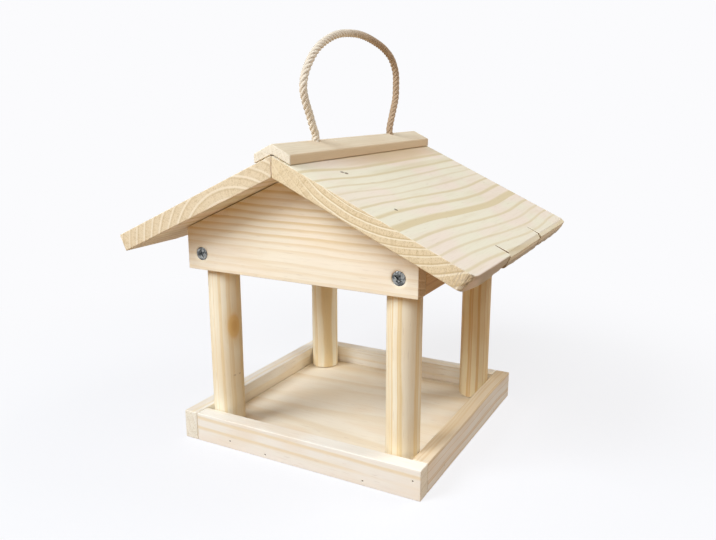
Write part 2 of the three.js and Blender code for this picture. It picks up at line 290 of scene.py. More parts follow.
route = np.column_stack([np.zeros(len(rope_route)), rope_route[:, 0], rope_route[:, 1] + cap_peak])
stem_heights = np.linspace(knot_middle + 1 * mm, cap_peak - 1.5 * mm, 4)
front_stem = [(0, rope_route[0, 0], z) for z in stem_heights]
rear_stem = [(0, rope_route[-1, 0], z) for z in stem_heights[::-1]]
rope_line, rope_along = smooth_line(np.vstack([front_stem, route, rear_stem]), 0.35 * mm)
rope_fibre = rope_finish()
points = laid_rope(rope_line, rope_along, np.array([1.0, 0, 0]), rope_sides)
rope_nodes = ("rope_loop", "front_rope_end", "rear_rope_end")
faces = tube_faces(len(rope_line), rope_sides)
rope = make_piece("rope", points, faces, rope_fibre, "rope", *rope_nodes, body=None)
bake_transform(rope)


def knot_line(y, turns=1.6, wrap=3.9 * mm, climb=4.3 * mm):
    """Down the stem, out at the bottom, up round it in a helix, in at the top and down to a short tail."""
    stem = [(0, y, knot_middle + 3 * mm), (0, y, knot_middle), (0, y, knot_middle - 3 * mm)]
    swing = np.linspace(0, turns * 2 * np.pi, 14)
    rise = knot_middle - 3.2 * mm + climb * swing / (2 * np.pi)
    coil = np.column_stack([wrap * np.cos(swing), y + wrap * np.sin(swing), rise])
    tail = [(-1.2 * mm, y, knot_middle - 1 * mm), (-1.6 * mm, y, knot_middle - 8 * mm)]
    tail += [(-2.4 * mm, y + 0.6 * mm, knot_middle - 13.4 * mm)]
    return smooth_line(np.vstack([stem, coil, tail]), 0.4 * mm)


for end, y in (("front", rope_route[0, 0]), ("rear", rope_route[-1, 0])):
    line, along = knot_line(y)
    points = laid_rope(line, along, np.array([0.05, 0.08, 1.0]), knot_sides)
    faces = tube_faces(len(line), knot_sides)
    make_piece(f"{end}_knot", points, faces, rope_fibre, "rope")

# Tray strips: four planed pine laths with lightly eased edges. Each butts against the side of the next,
# round the tray, and is fixed with thin pins, whose heads are punched a little below the wood.
edge_ease = 0.55 * mm
unevenness = 0.05 * mm
end_shares = np.array([0, 0.12, 0.35, 0.65, 1.0, 1.9])
ring_shares = np.array([0, 0.45, 0.8, 1.0, 1.12, 1.5, 2.1])


def sink(radius, shares, depths):
    """A round hollow: at each share of its radius, from the middle out, its depth. Given in millimetres."""
    return {"radius": radius * mm, "shares": shares, "depths": np.array(depths) * mm}


pin_dimple = sink(0.62, (0, 0.8, 1.0, 1.12), (0.5, 0.45, 0.1, 0))


def lines(low, high, step, ease, marks):
    """Lattice lines from low to high: close at the eased ends and round each mark, else a step apart."""
    fixed = [low + ease * end_shares, high - ease * end_shares]
    for middle, radius in marks:
        fixed += [middle - radius * ring_shares, middle + radius * ring_shares]
    fixed = np.unique(np.round(np.concatenate(fixed), 7))
    fixed = fixed[(fixed >= low) & (fixed <= high)]
    spans = zip(fixed[:-1], fixed[1:])
    parts = [np.linspace(a, b, 1 + math.ceil((b - a) / step))[:-1] for a, b in spans]
    return np.concatenate(parts + [[high]])


def box_lattice(xs, ys, zs):
    """The outer points of a lattice of lines along X, Y and Z, and the quads between them, facing out."""
    grid = np.stack(np.meshgrid(xs, ys, zs, indexing="ij"), axis=-1)
    outer = np.ones(grid.shape[:3], bool)
    outer[1:-1, 1:-1, 1:-1] = False
    index = np.full(outer.shape, -1)
    index[outer] = np.arange(outer.sum())
    sheets = [index[-1], index[0].T, index[:, 0], index[:, -1].T, index[:, :, -1], index[:, :, 0].T]
    quads = [np.stack([q[:-1, :-1], q[1:, :-1], q[1:, 1:], q[:-1, 1:]], axis=-1) for q in sheets]
    return grid[outer], np.concatenate([four.reshape(-1, 4) for four in quads])


def eased(points, low, high, ease):
    """Rounds a cuboid's edges: what is within `ease` of them comes to lie that far from the inner cuboid."""
    inner = np.clip(points, low + ease, high - ease)
    out = points - inner
    length = np.linalg.norm(out, axis=1)
    return inner + out * (ease / np.maximum(length, 1e-12))[:, None]


def sunk(points, face, across, middle, radius, shares, depths, inward):
    """Draws the square rings of the lattice round a middle into circles, and lowers each by its depth."""
    block = ring_shares[-1] * radius
    offset = points[:, across] - middle
    reach = np.abs(offset).max(axis=1)
    near = face & (reach < block) & (reach > 1e-9)
    straight = np.clip((reach[near] / block - 0.7) / 0.3, 0, 1)[:, None]
    circle = (reach[near] / np.linalg.norm(offset[near], axis=1))[:, None]
    moved = points.copy()
    moved[np.ix_(near, across)] = middle + offset[near] * (circle + (1 - circle) * straight)
    pressed = face & (reach < block)
    moved[pressed] += inward * np.interp(reach[pressed] / radius, shares, depths)[:, None]
    return moved


def waves(points, size, seed):
    """A slow unevenness: along each axis, three sine waves that run in random directions."""
    chance = np.random.default_rng(seed)
    total = np.zeros_like(points)
    for axis in range(3):
        for _ in range(3):
            direction = chance.normal(0, 2 * np.pi / (60 * mm), 3)
            total[:, axis] += np.sin(points @ direction + chance.uniform(0, 2 * np.pi)) / 3
    return size * total


def plank(low, high, seed, sinks=(), ease=edge_ease, step=4 * mm):
    """A plank with eased edges, and a sink for each (axis, side, middle, dimple) pressed into its faces."""
    low = np.round(np.array(low) + unevenness, 7)
    high = np.round(np.array(high) - unevenness, 7)
    marks = [[(s[2][k], s[3]["radius"]) for s in sinks if s[0] != k] for k in range(3)]
    lattice, faces = box_lattice(*(lines(low[k], high[k], step, ease, marks[k]) for k in range(3)))
    points = eased(lattice, low, high, ease)
    for axis, side, middle, dimple in sinks:
        face = np.isclose(lattice[:, axis], (high if side > 0 else low)[axis], atol=1e-6)
        across = [k for k in range(3) if k != axis]
        inward = -side * np.eye(3)[axis]
        points = sunk(points, face, across, np.array(middle)[across], **dimple, inward=inward)
    return points + waves(points, unevenness, seed), faces


def middle_of(node):
    low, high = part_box(node)
    return np.array(low + high) / 2


def pine(
    name, centre, across, up, rings, seed, pale, band, other=None, heart=(0.0, 60.0), sway=3.0, chance=0.5,
    rise=(0.55, 0.8), fall=(0.86, 1.0), broad=None, fade=None, depth=0.95, rays=45.0, marks=None,
    end_pale=(232, 212, 176), end_line=(250, 235, 204), line=((0.7, 0.82), (0.92, 1.0)), end_fade=None,
    end_edge=0.4, end_depth=0.9,
):
    """Solid pine. u and v are millimetres across the grain, along the directions `across` and `up`, and w
    runs with the grain. Slow waves, drawn out along the grain, bend them, and `rings` counts the growth
    rings up to a point. Each ring is pale early wood and then, from `rise` to `fall`, a soft darker line of
    late wood. On a face square to the grain the late wood is a pale line in rougher, darker early wood,
    crossed by rays from the heart."""
    finish = Finish(bpy.data.materials.new(name))
    grain = Vector(across).cross(Vector(up))
    turn = Matrix((across, up, grain)).transposed().to_euler()
    log = finish.place(centre, turn, (mm, mm, mm))

    def drawn(share):
        """The place in the log, drawn out along the grain."""
        return finish.vector("MULTIPLY", log, (1, 1, share))

    apart = finish.vector("ADD", drawn(0.5), (11.3 * seed, 5.1 * seed, 7.7 * seed))
    bend = log
    for scale, size in ((1 / 30, sway), (1 / 6, 0.4)):
        wave = finish.vector("SUBTRACT", finish.noise(apart, scale, 1.0, out=1), (0.5, 0.5, 0.5))
        bend = finish.vector("ADD", bend, finish.vector("MULTIPLY", wave, (size, size, 0)))
    u, v, w = finish.parts(bend)
    facing = finish.vector("DOT_PRODUCT", finish.node("TexCoord", out=1), tuple(grain), out=1)
    end_share = finish.step(finish.math("ABSOLUTE", facing), 0.55, 0.85)
    count = rings(finish, u, v, w, end_share)
    within = finish.math("FRACT", count)
    which = finish.math("FLOOR", count)
    luck = finish.node("TexWhiteNoise", {"noise_dimensions": "1D"}, {"W": which + 3.1 * seed})

    def hump(rise, fall):
        """1 between a rise and a fall within each ring."""
        return finish.step(within, *rise) * finish.step(within, *fall[::-1])

    late = hump(rise, fall) * (1 - chance * luck)
    if broad:
        wide = hump((0.42, 0.6), (0.92, 1.0)) * finish.math("COMPARE", which, broad, 0.5)
        late = finish.math("MAXIMUM", late, wide)
    if fade:
        late = late * fade(finish, u, v, w)

    fibre = finish.noise(drawn(0.035), 1.7, 3.0, 0.6)
    dash = finish.noise(drawn(0.09), 1.1, 1.0)
    streak = finish.noise(drawn(0.08), 0.22)
    blotch = finish.noise(apart, 1 / 22, 1.0)
    other = other or np.array(pale) - (4, 10, 16)
    face = [(finish.step(blotch, 0.42, 0.66), other), (0.2 * finish.step(streak, 0.5, 0.72), band)]
    face += [(depth * late, band), (0.1 * finish.step(fibre, 0.5, 0.72), (176, 134, 84))]
    face += [(0.16 * finish.step(dash, 0.66, 0.76), (156, 112, 62))]

    out_u, out_v = u - heart[0], v - heart[1]
    angle = finish.math("ARCTAN2", out_v, out_u)
    reach = finish.math("SQRT", out_u * out_u + out_v * out_v)
    ray_place = finish.node("CombineXYZ", {}, {0: angle * rays, 1: reach / 9, 2: 0.0})
    ray = finish.noise(ray_place, 1.0, 2.0, 0.6)
    pores = finish.noise(log, 1.9, 1.0)
    dark = np.array(end_pale) - (32, 38, 48)
    lift = line[0][0]
    seen = end_fade(finish, u, v) if end_fade else 1.0
    edge = hump((lift - 0.2, lift - 0.02), (lift, lift + 0.08)) * seen
    shine = hump(*line) * (1 - 0.4 * luck) * seen
    end = [(0.75 * finish.step(pores, 0.52, 0.7), dark), (0.35 * finish.step(ray, 0.5, 0.66), dark)]
    end += [(end_edge * edge, dark), (end_depth * shine, end_line)]
    colour = finish.mix(end_share, finish.layers(paint(*pale), face), finish.layers(paint(*end_pale), end))
    colour = finish.layers(colour, marks(finish) if marks else [])
    height = 0.45 * fibre + 0.3 * late + 0.6 * end_share * (pores + ray)
    roughness = 0.6 - 0.08 * late + 0.12 * fibre
    return finish.shade(colour, roughness, height, 0.1 * mm, 0.5)


def even_rings(spacing, heart_u, heart_v):
    """Rings at an even spacing round a heart, a little uneven from one to the next."""

    def count(finish, u, v, w, end_share):
        out_u, out_v = u - heart_u, v - heart_v
        rings = finish.math("SQRT", out_u * out_u + out_v * out_v) / spacing
        uneven = finish.node("TexNoise", {"noise_dimensions": "1D"}, {"W": rings * 0.55, "Detail": 0.0})
        return rings + 0.9 * uneven

    return count


def ring_look(spacing, heart_u, heart_v, **look):
    return {"rings": even_rings(spacing, heart_u, heart_v), "heart": (heart_u, heart_v), **look}


def front_strip_rings(finish, u, v, w, end_share):
    """Two rings along the strip, a wide one near its top and one at half height, drooping to the right."""
    droop, lean, spacing = 0.0133, 0.2, 6.8
    return (u + droop * w + 0.97 + lean * v) / spacing - 1.57


def front_strip_fade(finish, u, v, w):
    """The lower ring dies away to the right, and there is none below it."""
    return finish.step(u, 4.6, 6.0) * (1 - 0.85 * finish.step(w, 5, 60) * finish.step(u, 12, 10))


def shaded_strip_top(finish):
    """Painted shade: the top edge of the strip, shaded by the roof and the front right post, is painted
    browner than its side, but less so near its front end, where light reaches it.
    """
    x, y, z = finish.parts(finish.own())
    strip_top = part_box("right_strip")[1]
    near_front = finish.step(y, -0.5 * strip_top.y, -0.95 * strip_top.y)
    shade_mask = finish.step(z, strip_top.z - 0.7 * mm, strip_top.z - 0.2 * mm)
    return [((0.6 - 0.25 * near_front) * shade_mask, (214, 184, 134))]


strip_pale, strip_band = (255, 248, 234), (247, 229, 194)
strip_end = {"end_pale": (252, 244, 224), "end_line": (254, 247, 232), "end_depth": 0.6, "rays": 60.0}
strip_looks = {
    "front": {
        "rings": front_strip_rings,
        "fade": front_strip_fade,
        "rise": (0.5, 0.75),
        "fall": (0.82, 1.0),
        "chance": 0.0,
        "sway": 1.6,
    },
    "right": ring_look(4.4, -30.0, 34.0, chance=0.3, band=(226, 196, 150), marks=shaded_strip_top),
    "back": ring_look(5.6, 46.0, -12.0),
    "left": ring_look(4.4, -8.0, 60.0),
}
pin_lifts = np.array([2.0, -0.6, 0, 0]) * mm
strip_pins = {}
for seed, (side, look) in enumerate(strip_looks.items(), 1):
    axis, outward = {"front": (1, -1), "right": (0, 1), "back": (1, 1), "left": (0, -1)}[side]
    low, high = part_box(f"{side}_strip")
    pins = [f"{side}_floor_pin_{i}" for i in (1, 2, 3)] + [f"{side}_corner_pin"]
    pin_middles = {pin: middle_of(pin) for pin in pins}
    for pin, lift in zip(pins, pin_lifts):
        pin_middles[pin][2] += lift
    strip_pins.update(pin_middles)
    sinks = [(axis, outward, middle, pin_dimple) for middle in pin_middles.values()]
    points, faces = plank(low, high, seed, sinks)
    square = np.eye(3)[axis]
    centre = square * (high if outward > 0 else low)[axis] + (0, 0, low.z)
    look = {"pale": strip_pale, "band": strip_band, **strip_end, **look}
    wood = pine(f"{side}_strip_pine", centre, (0, 0, 1), outward * square, seed=seed, **look)
    make_piece(f"tray_{side}_strip", points, faces, wood, "strip_pine", f"{side}_strip")

# Floor panel: thin plywood inside the strips, held to each post by a screw from below. Its face veneer is
# peeled from the log, so the figure is wide and slow.
floor_low, floor_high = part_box("floor_panel")
screw_sink_shares = (0, 0.85, 1.0, 1.04, 1.12)
floor_screw_sink = sink(3.6, screw_sink_shares, (2.6, 2.6, 0.35, 0.08, 0))
corner_names = ("front_left", "front_right", "rear_left", "rear_right")
floor_sinks = [(2, -1, middle_of(f"{corner}_floor_screw"), floor_screw_sink) for corner in corner_names]
points, faces = plank(floor_low, floor_high, 11, floor_sinks, ease=0.3 * mm, step=8 * mm)


def peeled_rings(finish, u, v, w, end_share):
    """Rings cut almost along their own surface, so that they lie far apart and wander over the sheet."""
    cut = finish.noise(finish.node("CombineXYZ", {}, {0: u, 1: 0.16 * w, 2: 0.0}), 1 / 60, 1.0)
    return 4.5 * cut + u / 26


ply_look = {
    "rings": peeled_rings,
    "sway": 5.0,
    "rise": (0.35, 0.85),
    "depth": 0.7,
    "pale": (249, 237, 214),
    "band": (236, 214, 176),
    "end_pale": (206, 176, 134),
}
floor_wood = pine("floor_veneer", (0, 0, floor_high.z), (0, 1, 0), (0, 0, 1), seed=6, **ply_look)
make_piece("tray_floor", points, faces, floor_wood, "floor_plywood", "floor_panel")

# Posts: four 20 mm dowels of straight-grained pine, slightly rounded at both ends. A screw from below holds
# each to the floor panel, and a nail through the rail goes down into its top.
post_sides = 96


def turned(profile, sides):
    """A profile of (radius, height) turned round Z, from the foot up; both ends are on the axis."""
    profile = np.array(profile)
    angle = 2 * np.pi * np.arange(sides) / sides
    ring = np.stack([np.cos(angle), np.sin(angle), np.zeros(sides)], axis=-1)
    radii, heights = profile.T[..., None, None]
    points = (radii * ring + heights * np.array([0, 0, 1.0]))[1:-1].reshape(-1, 3)
    ends = [[0, 0, profile[0, 1]], [0, 0, profile[-1, 1]]]
    return np.vstack([points, ends]), tube_faces(len(profile) - 2, sides)


def dowel(low, high, seed):
    """A round bar, drawn in at both ends by a quarter circle."""
    rounding = 0.6 * mm
    quarter = np.linspace(0, np.pi / 2, 5)
    shaft = np.linspace(low.z + 2 * rounding, high.z - 2 * rounding, 30)
    from_end, drawn_in = rounding * (1 - np.cos(quarter)), rounding * (1 - np.sin(quarter))
    heights = np.concatenate([low.z + from_end, shaft, high.z - from_end[::-1]])
    inset = np.concatenate([drawn_in, np.zeros(len(shaft)), drawn_in[::-1]])
    radii = (high.x - low.x) / 2 - unevenness - inset
    points, faces = turned([(0, low.z), *zip(radii, heights), (0, high.z)], post_sides)
    points[:, :2] += np.array(low + high)[:2] / 2
    return points + waves(points, unevenness, seed), faces


post_pale, post_band = (253, 241, 213), (240, 212, 157)


def spots(finish, rows, turn=(0, 0, 0)):
    """Marks for `pine`, from rows of place and size in millimetres, softness of the edge, share and tint."""
    marks = []
    for place, size, edge, share, tint in rows:
        marks.append((share * finish.spot(np.array(place) * mm, np.array(size) * mm, edge, turn), tint))
    return marks


def amber_knot(finish):
    """A long resinous knot on the right of the post, seen from the front, with two specks below it."""
    knot_place = (-53.0, -61.5, 75.0)
    halo = (knot_place, (6, 6, 12), 1.2, 0.55, (238, 202, 140))
    knot = (knot_place, (4.2, 4.2, 8), 0.55, 0.75, (232, 186, 106))
    core = (knot_place, (2, 2, 3.8), 0.9, 0.4, (218, 162, 84))
    speck_places = ((-53.4, -62.4, 42.4), (-52.4, -58.6, 42.6))
    specks = [(place, (0.9, 0.9, 0.5), 0.8, 0.4, (170, 134, 90)) for place in speck_places]
    return spots(finish, [halo, knot, core, *specks])


post_looks = {
    "front_left": ring_look(4.2, -64.0, -20.0, depth=0.75, marks=amber_knot),
    "front_right": ring_look(4.6, 46.0, -52.0, depth=1.0, chance=0.3, sway=1.0),
    "rear_left": ring_look(4.8, -50.0, 60.0),
    "rear_right": ring_look(4.4, 58.0, 40.0, sway=1.6, pale=(247, 228, 188), band=(224, 182, 118)),
}
for seed, (corner, look) in enumerate(post_looks.items(), 10):
    low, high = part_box(f"{corner}_post")
    points, faces = dowel(low, high, 20 + seed)
    centre = (*middle_of(f"{corner}_post")[:2], low.z)
    look = {"pale": post_pale, "band": post_band, **look}
    wood = pine(f"{corner}_post_pine", centre, (1, 0, 0), (0, 1, 0), seed=seed, **look)
    make_piece(f"{corner}_dowel", points, faces, wood, "post_pine", f"{corner}_post")

# Rails: two square pine bars between the gables, one along each side, under the roof. The gable screws go
# into their ends, and they lie on the posts.
# The rails are painted a darker, browner pine than the rest: painted shade, as they lie under the roof.
rail_shaded_colours = {"pale": (226, 196, 148), "band": (198, 154, 102)}
for seed, (side, heart_v) in enumerate((("left", 0.0), ("right", 24.0)), 20):
    low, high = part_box(f"{side}_rail")
    points, faces = plank(low, high, 30 + seed)
    look = ring_look(3.8, 30.0, heart_v, **rail_shaded_colours)
    centre = (low.x, 0, low.z)
    wood = pine(f"{side}_rail_pine", centre, (0, 0, 1), (1, 0, 0), seed=seed, **look)
    make_piece(f"{side}_side_rail", points, faces, wood, "gable_pine", f"{side}_rail")

# Gables: one sawn board at each end, pointed at the top to carry the roof. A countersunk screw at each side
# holds it to the end of a rail.
roof_pitch = math.radians(24.6)
gable_side = 25.5 * mm
gable_still = 16.5 * mm
gable_lifted = gable_side - 1 * mm
gable_tip = 0.3 * mm
gable_sink = sink(4.1, screw_sink_shares, (3, 3, 0.5, 0.08, 0))


def gable_rings(finish, u, v, w, end_share):
    """Rings 4 mm apart up the gable, with one wide one low down, where they lie flatter to the face."""
    lean, spacing = 0.25, 4.23
    return (u + lean * v) / spacing - 1.39 + 0.75 * finish.step(u, 17.4, 10)


def gable_fade(finish, u, v, w):
    """The rings are fainter low down."""
    return 0.5 + 0.5 * finish.step(u, 14, 34)


gable_look = {
    "rings": gable_rings,
    "fade": gable_fade,
    "rise": (0.3, 0.74),
    "fall": (0.8, 0.96),
    "chance": 0.45,
    "sway": 3.0,
    "heart": (-60.0, 20.0),
    "pale": (251, 239, 215),
    "band": (232, 205, 154),
    "other": (249, 235, 211),
    # The end faces, under the eaves, are painted darker: painted shade.
    "end_pale": (216, 188, 146),
    "end_line": (232, 208, 168),
}
for seed, (end, side) in enumerate((("front", -1), ("rear", 1)), 30):
    low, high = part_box(f"{end}_gable")
    half_width = (high.x - low.x) / 2
    shoulder = low.z + gable_side
    sinks = [(1, side, middle_of(f"{end}_{hand}_gable_screw"), gable_sink) for hand in ("left", "right")]
    sawn_high = Vector((high.x, high.y, shoulder))
    points, faces = plank(low, sawn_high, 40 + seed, sinks, ease=0.35 * mm, step=3 * mm)
    rise = (half_width - np.hypot(points[:, 0], gable_tip)) * math.tan(roof_pitch)
    lift = np.clip((points[:, 2] - low.z - gable_still) / (gable_lifted - gable_still), 0, 1)
    points[:, 2] += lift * rise
    centre = (0, (low if side < 0 else high).y, low.z)
    wood = pine(f"{end}_gable_pine", centre, (0, 0, 1), (0, 1, 0), seed=seed, **gable_look)
    make_piece(f"{end}_gable_board", points, faces, wood, "gable_pine", f"{end}_gable")

# Roof boards: one wide board on each slope, mitred where they meet and pinned to the gables. Two saw cuts
# part each lower edge into three shingles. The right board ends in the tree's own round edge, which is
# worn, and the left one has lost splinters from its lower corners.
right_low, right_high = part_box("right_roof_board")
roof_thickness = 10.7 * mm
roof_apex = right_high.z - roof_thickness / math.cos(roof_pitch)
roof_slope = (right_high.x - right_low.x - roof_thickness * math.sin(roof_pitch)) / math.cos(roof_pitch)
roof_length = right_high.y - right_low.y
kerf_shares = (-0.187, 0.158)
kerf_gaps = (2.7 * mm, 2.2 * mm)
kerf_depth = 10.2 * mm
kerf_narrow, kerf_widening, kerf_strip, kerf_reach = 0.4, 0.65, 0.47, 2.5
chip_length, chip_height, chip_depth = 15 * mm, 4 * mm, 8 * mm
wane_shares = (-0.5, -0.4, -0.3, -0.2, -0.188, -0.186, -0.1, 0.157, 0.159, 0.3, 0.4, 0.45, 0.5)
wane_heights = np.array([0.3, 1.6, 3.2, 5.3, 5.6, 2.5, 2.1, 2.0, 3.2, 2.4, 2.9, 3.7, 5.8]) * mm
worn_drops = np.array([0, 0, 0, 0, 0, 2.3, 2.6, 2.2, 1.5, 1.6, 1.7, 1.8, 2.0]) * mm
worn_width = 2.6 * mm
wane_width_share = 2.2
undercut, undercut_reach, undercut_share = 3 * mm, 12 * mm, 0.13
rubbed_depth, rubbed_reach = 1.2 * mm, 5 * mm
roof_pin_shares = (0.046, 0.51)


def on_roof(hand, down, along, up):
    """A point `down` the slope from the ridge, `along` it and `up` from the underside of a roof board."""
    out = right_low.x + down * math.cos(roof_pitch) + up * math.sin(roof_pitch)
    rise = roof_apex - down * math.sin(roof_pitch) + up * math.cos(roof_pitch)
    return np.stack(np.broadcast_arrays(hand * out, along, rise), axis=-1)


def kerfed(points, lattice):
    """Opens two saw cuts in the eave. The strip of lattice inside a cut is folded back onto its two walls:
    its edges stay at the walls' rims and its inner lines gather in the far corners. The widths and the
    reach are shares of the cut's gap."""
    opened = points.copy()
    end_wall = roof_slope - kerf_depth
    for share, gap in zip(kerf_shares, kerf_gaps):
        across = lattice[:, 1] - share * roof_length
        beyond = np.clip((lattice[:, 0] - end_wall) / kerf_depth, 0, 1)
        wide = kerf_narrow + kerf_widening * beyond
        inside = (np.abs(across) < kerf_strip * gap) & (beyond > 0)
        near = (np.abs(across) < kerf_reach * gap) & (beyond > 0) & ~inside
        fade = np.clip(kerf_reach - np.abs(across[near]) / gap, 0, 1)
        opened[near, 1] += across[near] * fade * (wide[near] - 1)
        tall = points[inside, 2] - roof_thickness / 2
        opened[inside, 0] = end_wall
        opened[inside, 1] += across[inside] * (kerf_narrow * 1.1 - 1)
        opened[inside, 2] = roof_thickness / 2 + tall * (1 - 2 / 3 * beyond[inside])
    return opened


def chipped(points, seed):
    """Cuts each shingle's lower rear corner back to a slanting plane, with a rough face."""
    chance = np.random.default_rng(seed)
    moved = points.copy()
    for end in [share * roof_length for share in kerf_shares] + [roof_length / 2]:
        share = np.clip(1 - (end - points[:, 1]) / chip_length, 0, 1) * (points[:, 1] <= end)
        rough = 1 + 0.12 * np.sin(points[:, 1] / (0.9 * mm)) + chance.normal(0, 0.05, len(points))
        deep, tall = chip_depth * share * rough + 1e-9, chip_height * share * rough + 1e-9
        cut = np.clip(1 - (roof_slope - moved[:, 0]) / deep - moved[:, 2] / tall, 0, None) * (share > 0)
        moved[:, 0] -= cut * deep / 2
        moved[:, 2] += cut * tall / 2
    return moved


def waned(points, seed):
    """Raises the underside along the eave by a quarter of an oval: there the tree's own round edge began.
    Behind the first cut the upper rim is worn down as well. The front corner leans inwards lower down, and
    is rubbed round and rough."""
    chance = np.random.default_rng(seed)
    points = points.copy()
    along = points[:, 1] / roof_length
    to_corner = np.hypot(points[:, 0] - roof_slope, points[:, 1] + roof_length / 2)
    near_corner = np.clip(1 - to_corner / rubbed_reach, 0, 1)
    rubbed = rubbed_depth * near_corner**2 * chance.uniform(0.6, 1.4, len(points))
    near_front = np.clip(1 - (along + 0.5) / undercut_share, 0, 1)
    near_eave = np.clip(1 - (roof_slope - points[:, 0]) / undercut_reach, 0, 1)
    level = points[:, 2] / roof_thickness
    points[:, 0] -= rubbed + undercut * near_front * near_eave * (1 - level)
    points[:, 1] += rubbed
    to_eave = np.clip(1 - (roof_slope - points[:, 0]) / worn_width, 0, 1)
    points[:, 2] -= np.interp(along, wane_shares, worn_drops) * to_eave * level**2
    tall = np.interp(along, wane_shares, wane_heights) * (1 + 0.1 * np.sin(points[:, 1] / (2.3 * mm)))
    deep = wane_width_share * tall
    reach = np.clip(1 - (roof_slope - points[:, 0]) / deep, 0, 1)
    rise = tall * (1 - np.sqrt(1 - reach**2)) + reach * chance.normal(0, 0.12 * mm, len(points))
    points[:, 2] += np.clip(rise, 0, None) * np.clip(1 - points[:, 2] / roof_thickness, 0, 1)
    return points


def right_roof_rings(finish, u, v, w, end_share):
    """Along the face the count follows the way down the slope, bent by two slow swells behind the front
    end. On the ends the same rings dip round a heart high above the board: a ring is where the root of
    x x + 150 t + t t is the same, for x along the face from the middle of its figure and the depth t."""
    front_end, middle = 92.4, 46.7
    behind = front_end - w
    upper = 5.3 * finish.step(behind, 0, 65)
    lower = 7.0 * finish.step(behind, 15, 125) - 2.5 * finish.step(behind, 130, 180)
    lean = finish.step(u, 46, 60)
    along_face = u - upper * (1 - lean) - lower * lean
    x, t = along_face - middle, -1 * v
    round_heart = middle + finish.math("SQRT", finish.math("MAXIMUM", x * x + 150.0 * t + t * t, 0.0))
    down = along_face + (round_heart - along_face) * end_share
    return 0.11366 * down - 1.55 + 0.335 * finish.math("SINE", 0.1 * down + 2.457)


def left_roof_rings(finish, u, v, w, end_share):
    """Round a heart well under the board, six millimetres apart."""
    x = u - 40.0
    rise = 45.0 + v
    return (finish.math("SQRT", x * x + rise * rise) - 41.6) / 6.0 + 0.84


def right_roof_marks(finish):
    """Two small marks and a stain by the cap, painted shade over a pin's head, a smear along the grain,
    painted shade on the walls of the cuts with painted highlights on their rims, painted shade on the end
    face of the eave, a painted highlight on its worn lip behind the first cut, and its rough front corner."""
    turn = (0, roof_pitch, 0)
    pin_down, pin_along = roof_pin_shares[1] * roof_slope / mm, middle_of("front_right_roof_pin_1")[1] / mm
    rows = [
        (20.4, -57.5, (1, 1.5, 1), 0.7, 0.8, (110, 86, 58)),
        (22.1, -55.6, (1, 1.5, 1), 0.7, 0.95, (110, 86, 58)),
        # The next row is painted shade in the dimple over a pin's head.
        (pin_down, pin_along, (1.1, 1.1, 1.1), 0.5, 0.85, (108, 84, 56)),
        (12, 30, (7, 60, 3), 1.3, 0.65, (210, 176, 128)),
        (27.5, 30, (3.4, 66, 3), 0.9, 0.45, (220, 206, 164)),
    ]
    places = [on_roof(1, down * mm, along * mm, roof_thickness) / mm for down, along, *_ in rows]
    marks = spots(finish, [(place, *row[2:]) for place, row in zip(places, rows)], turn)
    for share, gap in zip(kerf_shares, kerf_gaps):
        corner = on_roof(1, roof_slope - kerf_depth, share * roof_length, roof_thickness)
        down, along, up = finish.parts(finish.place(corner, turn, (mm, mm, mm)))
        across = finish.math("ABSOLUTE", along)
        half = finish.step(down, 0, kerf_depth / mm) * (0.28 * gap / mm) + 0.22 * gap / mm
        # Painted shade: the walls of each cut are painted dark brown up to the top.
        shade_mask = finish.step(across - half, 0.35, 0.1) * finish.step(up, -0.02, -0.3)
        marks.append((0.95 * shade_mask * finish.step(down, -0.6, -0.1), (116, 78, 42)))
        # Painted highlight: a pale band on the lip beside each cut.
        rim = finish.step(across - half, 1.9, 0.7) * (1 - shade_mask) * finish.step(down, 1, 6)
        marks.append((0.6 * rim * finish.step(up, -3.4, -2), (250, 238, 212)))
    front_eave = on_roof(1, roof_slope, -roof_length / 2, roof_thickness)
    down, along, up = finish.parts(finish.place(front_eave, turn, (mm, mm, mm)))
    behind_cut = finish.step(along, 57, 58)
    # Painted shade on the end face of the eave, which faces down and out; behind the first cut only on its
    # lower part.
    shaded_eave_face = finish.step(down, -1.2, -0.3) * finish.step(up + 4.6 * behind_cut, -0.2, -1.4)
    marks.append((0.75 * shaded_eave_face, (184, 164, 130)))
    # Painted highlight on the worn lip of the eave behind the first cut, which tilts up to the light.
    marks.append((0.5 * finish.step(down, -2.4, -1.8) * behind_cut * (1 - shaded_eave_face), (252, 236, 196)))
    drawn = finish.node("CombineXYZ", {}, {0: down, 1: along * 0.3, 2: up * 0.12})
    strokes = finish.noise(drawn, 1.1, 2.0, 0.7)
    rough = finish.step(down, -22, -2) * finish.step(along, 1.5, 0.3)
    marks.append((0.85 * rough * finish.step(strokes, 0.44, 0.62), (196, 172, 142)))
    return marks


roof_looks = {
    "right": {
        "rings": right_roof_rings,
        "heart": (46.7, 75.0),
        "rise": (0.6, 0.8),
        "fall": (0.85, 0.98),
        "broad": 6.0,
        "sway": 1.6,
        "marks": right_roof_marks,
        "end_pale": (234, 213, 174),
        "end_line": (253, 241, 214),
        "end_edge": 0.75,
        "end_fade": lambda finish, u, v: 0.25 + 0.75 * finish.step(u, 14, 30),
        "line": ((0.74, 0.84), (0.93, 1.0)),
    },
    "left": {
        "rings": left_roof_rings,
        "heart": (40.0, -45.0),
        "line": ((0.68, 0.82), (0.88, 1.0)),
        "sway": 1.2,
        "end_pale": (230, 210, 175),
        "end_line": (244, 229, 202),
        "end_depth": 0.75,
    },
}
roof_colours = {"pale": (243, 234, 209), "band": (222, 202, 158), "other": (246, 229, 210)}
roof_step, roof_layer, ridge_reach = 2.5 * mm, 1.2 * mm, 30 * mm
roof_pins = {}
